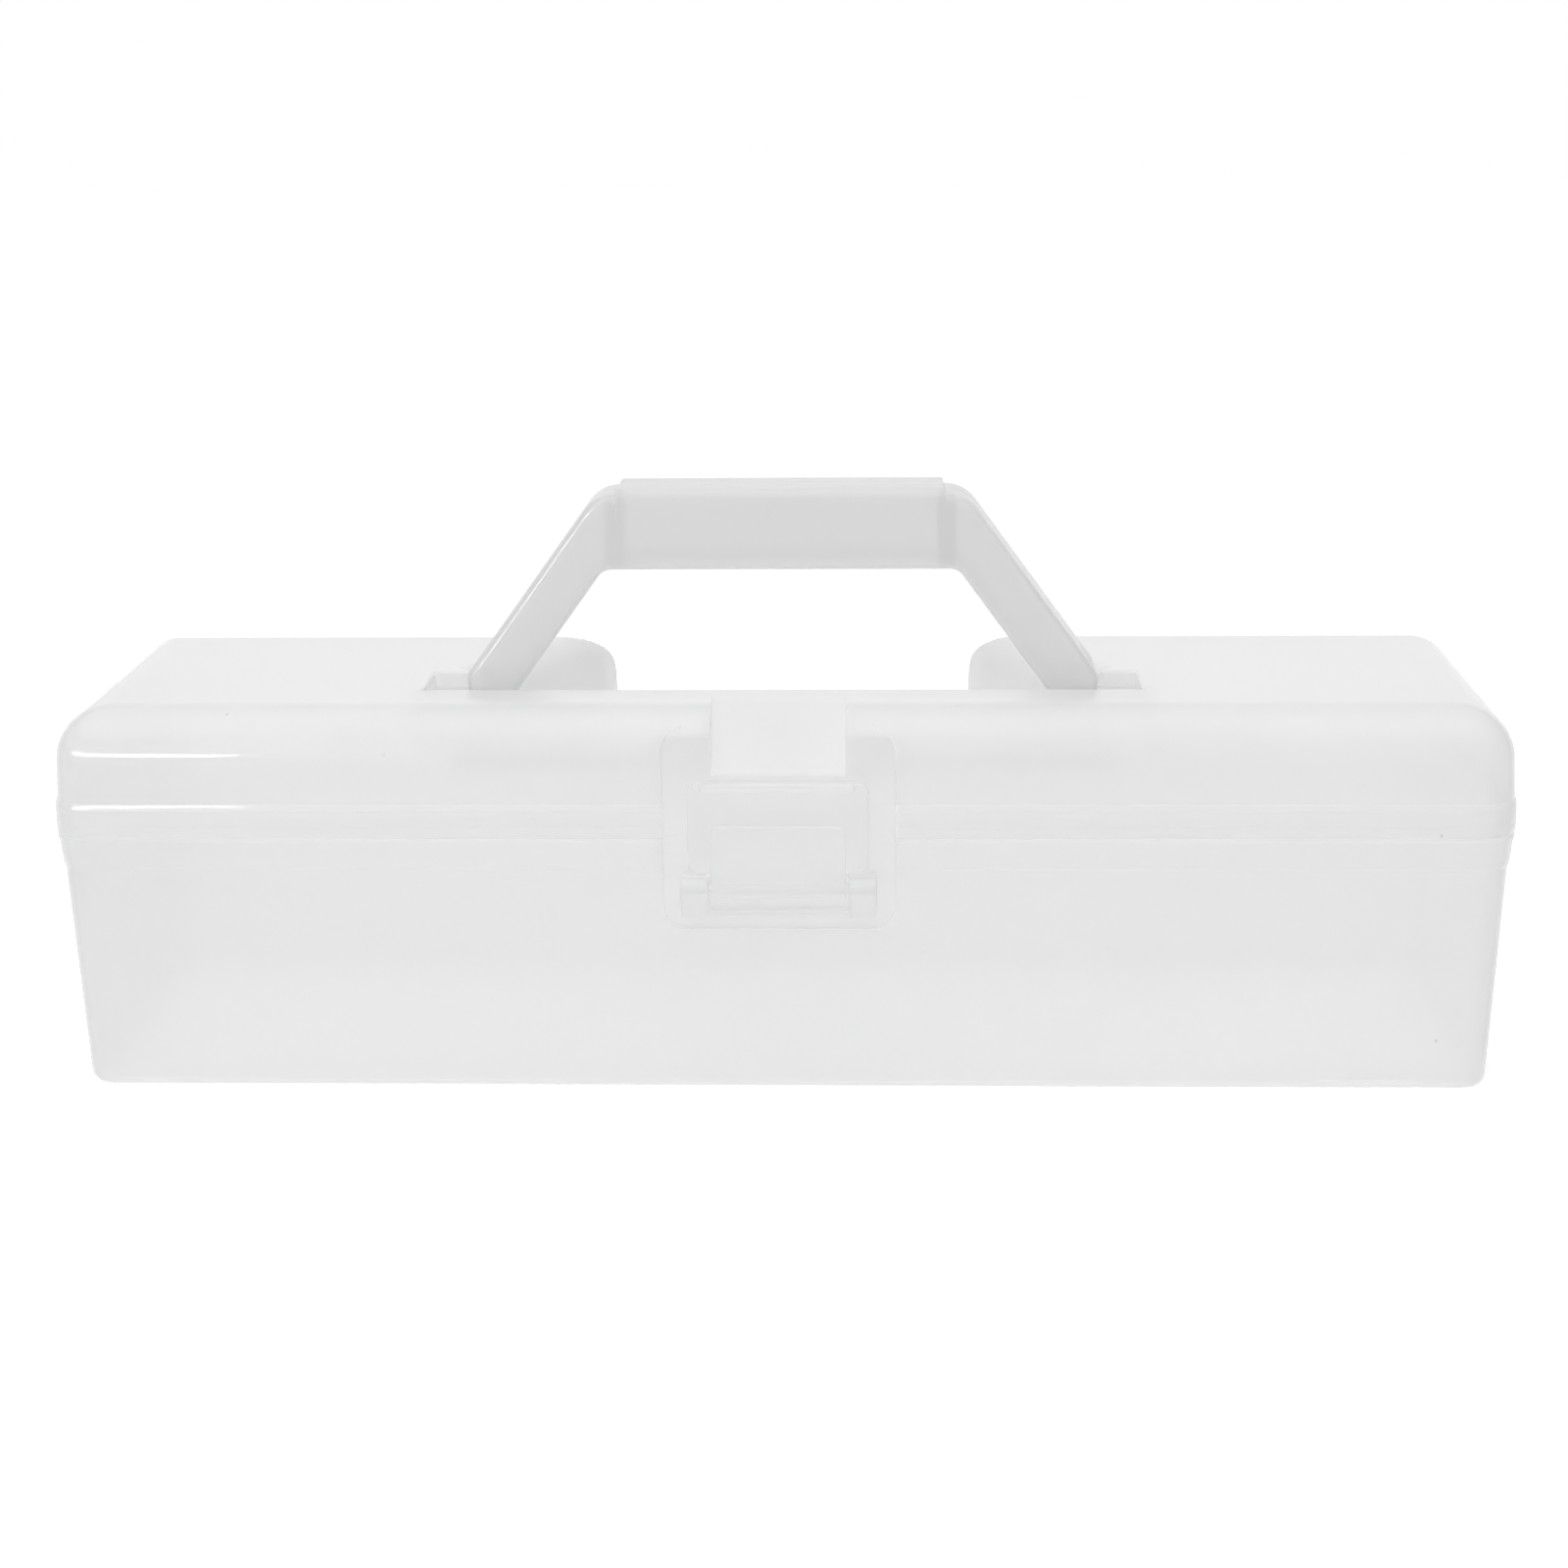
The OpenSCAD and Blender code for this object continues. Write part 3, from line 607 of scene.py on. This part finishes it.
def step_height(beyond, top, floor, radius, low_radius=1.0):
    """Height of a wall's cross-section: the floor inside with a quarter round up to the wall, and a
    quarter round outside from the wall to the top."""
    inside = np.clip(low_radius + beyond, 0, low_radius)
    below = floor + low_radius - np.sqrt(low_radius ** 2 - inside ** 2)
    share = np.clip(radius - beyond, 0, radius)
    above = top - radius + np.sqrt(np.maximum(radius ** 2 - share ** 2, 0))
    return np.where(beyond < 0, below, np.where(beyond < radius, above, no_limit))


def hollow_height(u, v, grown):
    """Height limit of trough and pockets at a station."""
    share = wedge_share(v)
    top = lid_z - grown
    edge = max(0.8 - grown, 0.2)
    radius = edge + share * (pillow_radius - grown - edge)
    beyond = (np.abs(u) - slot_half) / (pocket_half - slot_half) * (pillow_radius - grown)
    front_wall = step_height(strip_back - v, top, trough_z - grown, edge)
    side_wall = step_height(beyond, top, trough_z - grown, radius)
    trough = np.maximum(front_wall, side_wall)
    around = np.maximum(np.maximum(strip_back - v, v - pocket_back), np.abs(u) - pocket_half)
    return np.minimum(trough, step_height(around, top, pocket_z - grown, edge, 0.8))


def scoop_height(u, y, z, grown):
    """Height limit of the thumb scoop: a floor that rises to the back, with sharp sides."""
    path_y, path_z = np.transpose(scoop_path)
    floor = np.interp(y - grown, path_y, path_z) - grown
    beyond = np.abs(u) - scoop_half
    share = np.clip(scoop_edge - beyond, 0, scoop_edge)
    rounded = z - scoop_edge + np.sqrt(scoop_edge ** 2 - share ** 2)
    return np.where(beyond < 0, floor, np.where(beyond < scoop_edge, rounded, no_limit))


def lid_profile():
    """(inset, height, grown) from the flat top over the rounding and down to the bead's edge, then up
    the inner face again."""
    rows = [(flat_inset, lid_z, 0), (16.5, lid_z, 0)]
    rows += [(arc_inset - top_radius * math.cos(t), arc_z + top_radius * math.sin(t), 0)
             for t in quarter(90, 3.1, 19)]
    lean = math.tan(lid_lean)
    rows += [(bead_step + lean * (z - bead_z), z, 0) for z in (87, 86, 84, 82, 80.5, 79.5)]
    rows += [(bead_step, bead_z + 0.12, 0), (bead_step - 0.1, bead_z, 0), (0.36, bead_z - 0.1, 0),
             (0.06, bead_z - 1.35, 0), (0, bead_z - 1.5, 0)]
    for groove in groove_heights:
        rows += [(0, groove + 0.3, 0), (groove_depth, groove + 0.1, 0),
                 (groove_depth, groove - 0.1, 0), (0, groove - 0.3, 0)]
    rows += [(0, 71.5, 0), (0, rim_z + 0.7, 0), (0.2, rim_z + 0.25, 0), (0.7, rim_z, 0)]
    rows += [(bead_wall - 0.2, rim_z, wall), (bead_wall, rim_z + 0.2, wall), (bead_wall, 76.5, wall)]
    rows += [(bead_step + wall, 78.0, wall)]
    rows += [(bead_step + wall + lean * (z - bead_z), z, wall) for z in (80, 82, 84, 86)]
    inner = top_radius - wall
    rows += [(arc_inset - inner * math.cos(t), arc_z + inner * math.sin(t), wall)
             for t in quarter(3.1, 90, 17)]
    rows += [(16.5, lid_z - wall, wall), (flat_inset, lid_z - wall, wall)]
    return rows


def lid_clamped(points, u, v, grown):
    """Presses trough, pockets and scoop into the points."""
    y = points[:, 1]
    z = np.minimum(points[:, 2], hollow_height(u, v, grown))
    points[:, 2] = np.where(y < scoop_back, np.minimum(z, scoop_height(u, y, z, grown)), z)
    return points


def lid_points(inset, z, grown, side, u, v):
    """A ring of the lid with the latch bay, the scoop and the back end of the trough in it."""
    points = ring(inset, z, grown, side, u, v, lid_place_x)
    front, sides = side == 0, np.isin(side, (0, 4))
    if z < bay_high + grown:
        face_y = -half_depth + inset
        points[front, 1] = bay_floor(u[front], points[front, 1], face_y, bay_y + grown)
    points[sides] = lid_clamped(points[sides], u[sides], points[sides, 1], grown)
    return points


def lid_flat(z, grown):
    """The flat middle of the top with trough and pockets pressed into it."""
    core = half_length - flat_inset
    gu, gv = np.meshgrid(lid_across, lid_along)
    u, v = gu.ravel(), gv.ravel()
    y = lid_place_y(v, grown)
    x = lid_place_x(u, y, z, grown, core)
    points = np.stack([x, y, np.full(len(x), float(z))], axis=1)
    points = lid_clamped(points, u, v, grown)
    return points, grid_faces(len(lid_along), len(lid_across)).tolist()


pivot_y = -21.2
pivot_z = 98.8
stub_radius = 3.0
stub_clearance = 0.06
boss_gap = 0.4
boss_reach = 5.3
boss_drop = 1.2
ridge_half = 14.0
ridge_low = 76.0
ridge_high = 77.6
lid_knuckle_half = 9.0
lid_arm = (71.5, 74.0)
lid_skin = shell(lid_profile(), lid_points, lid_across, lid_along)
lid_parts = [joined([lid_skin, lid_flat(lid_z, 0.0), lid_flat(lid_z - wall, wall)])]
ridge_outline = round_outline((-ridge_half, ridge_low), (ridge_half, ridge_high), 0.5)
lid_parts.append(moulded(ridge_outline, bay_y - 1.4, bay_y + 0.8, 0.4, "y"))
for mirror_side in (-1, 1):
    middle = mirror_side * hinge_x
    lid_parts += knuckle(middle - lid_knuckle_half, middle + lid_knuckle_half, *lid_arm)
    boss = sorted((mirror_side * (pocket_half + boss_gap), mirror_side * (pocket_half + boss_reach)))
    lid_parts.append(barrel(boss[0], boss[1], pivot_y, pivot_z - boss_drop, stub_radius + wall - 0.8,
                            stub_radius + stub_clearance))
lid = make_piece("lid", lid_parts)
lid.data.materials.append(shell_plastic)
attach(lid, "lid")
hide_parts("lid")

# ---------------------------------------------------------------------------------------------
# The carry handle: a thicker moulding, milkier than the box. It is a channel open at the back with
# solid feet, and its two stub pins snap into the lid's pockets.

handle_front = strip_back + 0.8
handle_back = handle_front + 20.0
grip_z = 154.5
grip_low = 134.7
top_half = 48.3
leg_slope = 0.7277
knee_z = 106.4
foot_half = 83.3
foot_inner = 71.9
foot_z = 95.0
inner_half = 46.5
outer_corner = 10.2
inner_corner = 4.5
pad_half = 42.4
pad_rise = 1.5
handle_wall = 2.4
solid_z = 107.0
foot_radius = 4.3
heel_height = 4.2
heel_run = 5.0


def corner_arc(corner, radius, leg_angle, steps=12):
    """Arc between a sloping leg and the level grip, from the leg up to the grip."""
    tangent = radius * math.tan(leg_angle / 2)
    centre = np.array([corner[0] - tangent, corner[1] - radius])
    turn = np.linspace(math.pi / 2 - leg_angle, math.pi / 2, steps)
    return centre + radius * np.stack([np.cos(turn), np.sin(turn)], axis=1)


def straight(start, end, steps):
    """Evenly spaced points between two points, the end left out."""
    share = np.linspace(0, 1, steps, endpoint=False)[:, None]
    return np.asarray(start) * (1 - share) + np.asarray(end) * share


def handle_curves():
    """Right half of the outer and the inner outline, station by station: foot, leg, corner, grip."""
    lean = math.pi / 2 - math.atan(leg_slope)
    outer_arc = corner_arc((top_half, grip_z), outer_corner, lean)
    inner_arc = corner_arc((inner_half, grip_low), inner_corner, lean)
    inner_knee = grip_low - (foot_inner - inner_half) / leg_slope
    outer_turns = [(foot_half - 6.3, foot_z), (foot_half - 0.7, 100.9), (foot_half, 102.0),
                   (foot_half, knee_z - 0.6), (foot_half - 0.45, knee_z + 0.7), outer_arc[0]]
    inner_turns = [(foot_inner, foot_z), (foot_inner, 97.0), (foot_inner, 98.0),
                   (foot_inner, inner_knee - 0.6), (foot_inner - 0.6 * leg_slope, inner_knee + 0.6),
                   inner_arc[0]]
    run_steps = (5, 3, 5, 3, 14)
    outer = [straight(*run) for run in zip(outer_turns[:-1], outer_turns[1:], run_steps)] + [outer_arc[:-1]]
    inner = [straight(*run) for run in zip(inner_turns[:-1], inner_turns[1:], run_steps)] + [inner_arc[:-1]]
    pad_z = grip_z + pad_rise
    pad = [(outer_arc[-1][0], grip_z), (pad_half + 0.6, grip_z), (pad_half + 0.2, pad_z - 0.15),
           (pad_half - 0.4, pad_z), (30, pad_z), (15, pad_z), (0, pad_z)]
    under = [inner_arc[-1]] + [(x, grip_low) for x in (43.6, 43.0, 42.2, 30.0, 15.0, 0.0)]
    return np.concatenate(outer + [np.array(pad)]), np.concatenate(inner + [np.array(under)])


def channel_section(width, depth, open_share):
    """Closed section of the channel as (distance from the outer face, distance from the front): big
    roundings at the front, small ones at the back, and a hollow that open_share scales."""
    big, small, rim = 2.2, 1.4, 0.5
    t = quarter(0, 90, 6)
    floor = handle_wall + (1 - open_share) * (depth - handle_wall - 0.05)
    far_wall = width - handle_wall
    mouth = depth - 0.04
    corner = min(floor + 0.8, mouth)
    near = [(0, depth - rim)] + [(big * (1 - math.cos(a)), big * (1 - math.sin(a))) for a in t]
    far = [(width - small * (1 - math.sin(a)), small * (1 - math.cos(a))) for a in t] + [(width, depth - rim)]
    lips = [(width - 0.15, depth - 0.15), (width - rim, depth), (far_wall + 0.3, depth), (far_wall, mouth)]
    hollow = [(far_wall, corner), (far_wall - 0.8, floor), (handle_wall + 0.8, floor),
              (handle_wall, corner), (handle_wall, mouth), (handle_wall - 0.3, depth)]
    return np.array(near + far + lips + hollow + [(rim, depth), (0.15, depth - 0.15)])


def handle_points():
    """The section carried from foot to foot, with the feet rounded about the pivot."""
    outer_half, inner_half_curve = handle_curves()
    flip = np.array([-1.0, 1.0])
    outer = np.concatenate([outer_half, (outer_half[:-1] * flip)[::-1]])
    inner = np.concatenate([inner_half_curve, (inner_half_curve[:-1] * flip)[::-1]])
    across = inner - outer
    width = np.linalg.norm(across, axis=1)
    direction = across / width[:, None]
    depth = handle_back - handle_front
    sections = np.stack([channel_section(w, depth, np.clip((o[1] - solid_z + 0.5) / 1.0, 0, 1))
                         for w, o in zip(width, outer)])
    flat = outer[:, None, :] + direction[:, None, :] * sections[:, :, 0:1]
    y = handle_front + sections[:, :, 1]
    z = flat[:, :, 1]
    below = np.clip(pivot_z - z, 0, foot_radius - 0.01)
    y = np.where(z < pivot_z, np.maximum(y, pivot_y - np.sqrt(foot_radius ** 2 - below ** 2)), y)
    heel = np.clip((foot_z + heel_height - z) / heel_height, 0, 1) * heel_run
    y = np.minimum(y, handle_back - heel)
    rows, columns = y.shape
    points = np.stack([flat[:, :, 0].ravel(), y.ravel(), z.ravel()], axis=1)
    ends = points.reshape(rows, columns, 3)[[0, -1]].mean(axis=1)
    faces = grid_faces(rows, columns, closed=True).tolist()
    last = (rows - 1) * columns
    for i in range(columns):
        j = (i + 1) % columns
        faces.append((len(points), j, i))
        faces.append((len(points) + 1, last + i, last + j))
    return np.concatenate([points, ends]), faces


handle_parts = [handle_points()]
web_x = 43.5
web_half = 2.4
hub_start = 76.0
hub_radius = 3.9
hub_gap = 0.4
stub_reach = 4.0
for mirror_side in (-1, 1):
    web = sorted((mirror_side * (web_x - web_half), mirror_side * (web_x + web_half)))
    web_outline = round_outline((web[0], grip_low + 1), (web[1], grip_z - 1), 0.8, 3)
    handle_parts.append(moulded(web_outline, handle_front + 1.5, handle_back - 3, 0.2, "y"))
    hub = sorted((mirror_side * hub_start, mirror_side * (pocket_half - hub_gap)))
    stub = sorted((mirror_side * hub_start, mirror_side * (pocket_half + stub_reach)))
    handle_parts.append(barrel(hub[0], hub[1], pivot_y, pivot_z, hub_radius))
    handle_parts.append(barrel(stub[0], stub[1], pivot_y, pivot_z, stub_radius, edge=0.5))
handle = make_piece("carry_handle_moulding", handle_parts)
# The third colour, rim, is a painted highlight: the handle's edge-on bands, such as its top, lighten to it.
handle_plastic = milky_plastic("thick_polypropylene", (0.88, 0.882, 0.885), (0.865, 0.867, 0.87),
                                (0.9, 0.901, 0.903), clear=0.0, body=0.62, edge_body=0.65, blur=0.4)
handle.data.materials.append(handle_plastic)
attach(handle, "handle")
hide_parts("carry_handle")

# ---------------------------------------------------------------------------------------------
# The latch: a thin flap of clear polypropylene that turns on a pin between two ears of the tub. Its
# hook snaps over a ridge on the lid, and a lip along its top gives the thumb a hold.

latch_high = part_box("latch")[1]
plate_half = latch_high[0] / MM
plate_back = -55.2
plate_front = -57.0
plate_low = 61.0
plate_high = latch_high[2] / MM
plate_corner = 3.0
band_half = 17.4
band_high = 74.0
lip_half = 20.0
hook_half = 13.0
hook_low = 78.0
hook_high = 80.0
hook_back = -53.2
flange_low = 62.0
flange_back = -52.2
rib_low = 65.0
rib_back = -53.6
eye_radius = 2.6

plate_outline = round_outline((-plate_half, plate_low), (plate_half, plate_high), plate_corner)
band_outline = round_outline((-band_half, latch_pin_z), (band_half, band_high), 2.0)
lip_outline = round_outline((-lip_half, plate_high - 2), (lip_half, plate_high - 0.1), 0.8)
hook_outline = round_outline((-hook_half, hook_low), (hook_half, hook_high), 0.5)
latch_parts = [moulded(plate_outline, plate_front, plate_back, 0.5, "y"),
               moulded(band_outline, plate_front - 0.8, plate_back - 0.15, 0.5, "y"),
               moulded(lip_outline, plate_front - 1.4, plate_back - 0.3, 0.5, "y"),
               moulded(hook_outline, plate_front + 0.3, hook_back, 0.3, "y"),
               barrel(-band_half, band_half, latch_pin_y, latch_pin_z, eye_radius, pin_radius + 0.05)]
for mirror_side in (-1, 1):
    flange = sorted((mirror_side * (plate_half - 1.8), mirror_side * plate_half))
    flange_outline = round_outline((flange[0], flange_low), (flange[1], plate_high - 3), 0.4, 3)
    latch_parts.append(moulded(flange_outline, plate_front + 0.2, flange_back, 0.3, "y"))
    rib = sorted((mirror_side * (plate_half - 4.4), mirror_side * (plate_half - 3.2)))
    rib_outline = round_outline((rib[0], rib_low), (rib[1], plate_high - 5), 0.3, 3)
    latch_parts.append(moulded(rib_outline, plate_front + 0.2, rib_back, 0.2, "y"))
latch = make_piece("latch_flap", latch_parts)
# The third colour, rim, is a painted highlight: the flap lightens to it where it is seen edge on.
latch_plastic = milky_plastic("clear_polypropylene", (0.985, 0.986, 0.988), (0.98, 0.981, 0.983),
                               (0.99, 0.991, 0.992), clear=0.06, body=0.34, edge_body=0.45, blur=0.3)
latch.data.materials.append(latch_plastic)
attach(latch, "latch")
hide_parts("latch")

# ---------------------------------------------------------------------------------------------
# The three pins: smooth extruded rod of the same plastic, pressed into the tub's knuckles and ears.

pin_plastic = milky_plastic("pin_rod", (0.92, 0.922, 0.925), (0.9, 0.902, 0.905),
                            (0.92, 0.922, 0.925), clear=0.0, body=0.6, edge_body=0.8, blur=0.4)
for pin in ("latch_pin", "hinge_pin_left", "hinge_pin_right"):
    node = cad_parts[pin]
    node.data.materials.clear()
    node.data.materials.append(pin_plastic)

# ---------------------------------------------------------------------------------------------
# The stage: a white floor and a white room, with a broad light overhead and a weak lamp in front. A
# wide, low lamp at the left gives only the two streaks that the polished plastic mirrors.


def sees_white(nodes, link, ray):
    """1 where the camera looks straight at floor or room, and in reflections and refractions. 0 where
    light only bounces or the camera looks through the plastic, behind which the room is dimmer."""
    unveiled = nodes.new("ShaderNodeMath")
    unveiled.operation = "LESS_THAN"
    unveiled.inputs[1].default_value = 0.5
    link(ray.outputs["Transparent Depth"], unveiled.inputs[0])
    straight_on = nodes.new("ShaderNodeMath")
    straight_on.operation = "MULTIPLY"
    link(unveiled.outputs["Value"], straight_on.inputs[0])
    link(ray.outputs["Is Camera Ray"], straight_on.inputs[1])
    mirrored_too = nodes.new("ShaderNodeMath")
    mirrored_too.operation = "MAXIMUM"
    link(straight_on.outputs["Value"], mirrored_too.inputs[0])
    link(ray.outputs["Is Glossy Ray"], mirrored_too.inputs[1])
    refracted_too = nodes.new("ShaderNodeMath")
    refracted_too.operation = "MAXIMUM"
    link(mirrored_too.outputs["Value"], refracted_too.inputs[0])
    link(ray.outputs["Is Transmission Ray"], refracted_too.inputs[1])
    return refracted_too.outputs["Value"]


floor_half = 4000.0  # in millimetres, far past the picture's edges
floor_corners = np.array([(-1, -1, 0), (1, -1, 0), (1, 1, 0), (-1, 1, 0)], dtype=float) * floor_half
floor = make_piece("floor", [(floor_corners, [(0, 1, 2, 3)])])
floor_paint = bpy.data.materials.new("white_table")
floor_paint.use_nodes = True
paint = floor_paint.node_tree.nodes["Principled BSDF"]
paint.inputs["Base Color"].default_value = (0.9, 0.9, 0.9, 1)
paint.inputs["Roughness"].default_value = 0.8
paint.inputs["Specular IOR Level"].default_value = 0.1
paint.inputs["Emission Color"].default_value = (1, 1, 1, 1)
glow = floor_paint.node_tree.nodes.new("ShaderNodeMapRange")
glow.inputs["To Min"].default_value = 0.14
glow.inputs["To Max"].default_value = 0.36
floor_ray = floor_paint.node_tree.nodes.new("ShaderNodeLightPath")
floor_link = floor_paint.node_tree.links.new
floor_link(sees_white(floor_paint.node_tree.nodes, floor_link, floor_ray), glow.inputs["Value"])
floor_link(glow.outputs["Result"], paint.inputs["Emission Strength"])
floor.data.materials.append(floor_paint)

world = bpy.data.worlds.new("white_room")
world.use_nodes = True
bpy.context.scene.world = world
room_nodes, room_link = world.node_tree.nodes, world.node_tree.links.new
room = room_nodes["Background"]
room.inputs["Color"].default_value = (1, 1, 1, 1)
toward = room_nodes.new("ShaderNodeTexCoord")
parts_of = room_nodes.new("ShaderNodeSeparateXYZ")
room_link(toward.outputs["Generated"], parts_of.inputs["Vector"])
sideways = room_nodes.new("ShaderNodeMath")
sideways.operation = "ABSOLUTE"
room_link(parts_of.outputs["X"], sideways.inputs[0])
dimmer = room_nodes.new("ShaderNodeMapRange")
dimmer.interpolation_type = "SMOOTHSTEP"
dimmer.inputs["From Min"].default_value = 0.62
dimmer.inputs["From Max"].default_value = 0.95
dimmer.inputs["To Min"].default_value = 0.49
dimmer.inputs["To Max"].default_value = 0.05
room_link(sideways.outputs["Value"], dimmer.inputs["Value"])
ray = room_nodes.new("ShaderNodeLightPath")
through = room_nodes.new("ShaderNodeMapRange")
through.inputs["To Min"].default_value = 1.0
through.inputs["To Max"].default_value = 1.2
room_link(ray.outputs["Is Camera Ray"], through.inputs["Value"])
lit = room_nodes.new("ShaderNodeMath")
lit.operation = "MULTIPLY"
room_link(dimmer.outputs["Result"], lit.inputs[0])
room_link(through.outputs["Result"], lit.inputs[1])
level = room_nodes.new("ShaderNodeMix")
level.inputs["B"].default_value = 1.0
room_link(sees_white(room_nodes, room_link, ray), level.inputs["Factor"])
room_link(lit.outputs["Value"], level.inputs["A"])
room_link(level.outputs["Result"], room.inputs["Strength"])


def soft_lamp(name, place, target, width, height, power):
    """A soft lamp of that width and height at a place, turned to a target."""
    lamp = bpy.data.lights.new(name, "AREA")
    lamp.shape = "RECTANGLE"
    lamp.size = width
    lamp.size_y = height
    lamp.energy = power
    holder = bpy.data.objects.new(name, lamp)
    holder.location = place
    holder.rotation_euler = (Vector(target) - Vector(place)).to_track_quat("-Z", "Y").to_euler()
    bpy.context.scene.collection.objects.link(holder)
    return holder


overhead = bpy.data.lights.new("overhead", "SUN")
overhead.energy = 1.05
overhead.angle = math.radians(60)
sky = bpy.data.objects.new("overhead", overhead)
sky.rotation_euler = (math.radians(12), math.radians(-8), 0)
bpy.context.scene.collection.objects.link(sky)
strip = soft_lamp("left_strip", (-0.86, -1.0, 0.36), (-0.17, -0.05, 0.092), width=1.05, height=0.14,
                  power=10.0)
strip.visible_diffuse = False
strip.visible_transmission = False
soft_lamp("key", (-0.15, -1.3, 0.8), (0, 0, 0.07), width=0.7, height=0.5, power=0.8)

# ---------------------------------------------------------------------------------------------
# The camera stands in front and slightly to the right, a little above the box.

camera_place = (31.0, -782.0, 277.0)
camera_down, camera_yaw, camera_roll = (math.radians(a) for a in (14.8, -2.31, -0.59))
forward = Vector((math.sin(camera_yaw) * math.cos(camera_down), math.cos(camera_yaw) * math.cos(camera_down),
                  -math.sin(camera_down)))
right = Vector((math.cos(camera_yaw), -math.sin(camera_yaw), 0))
up = right.cross(forward)
axis_x = right * math.cos(camera_roll) + up * math.sin(camera_roll)
axis_y = up * math.cos(camera_roll) - right * math.sin(camera_roll)
lens = bpy.data.cameras.new("view")
lens.lens = 67.5
lens.sensor_width = 36.0
lens.clip_start = 0.01
viewer = bpy.data.objects.new("view", lens)
turned = Matrix((axis_x, axis_y, -forward)).transposed().to_4x4()
viewer.matrix_world = Matrix.Translation(Vector(camera_place) * MM) @ turned
bpy.context.scene.collection.objects.link(viewer)
bpy.context.scene.camera = viewer
bpy.context.scene.view_settings.view_transform = "Standard"
bpy.context.scene.cycles.transparent_max_bounces = 32
bpy.context.scene.cycles.max_bounces = 16
bpy.context.scene.cycles.diffuse_bounces = 12
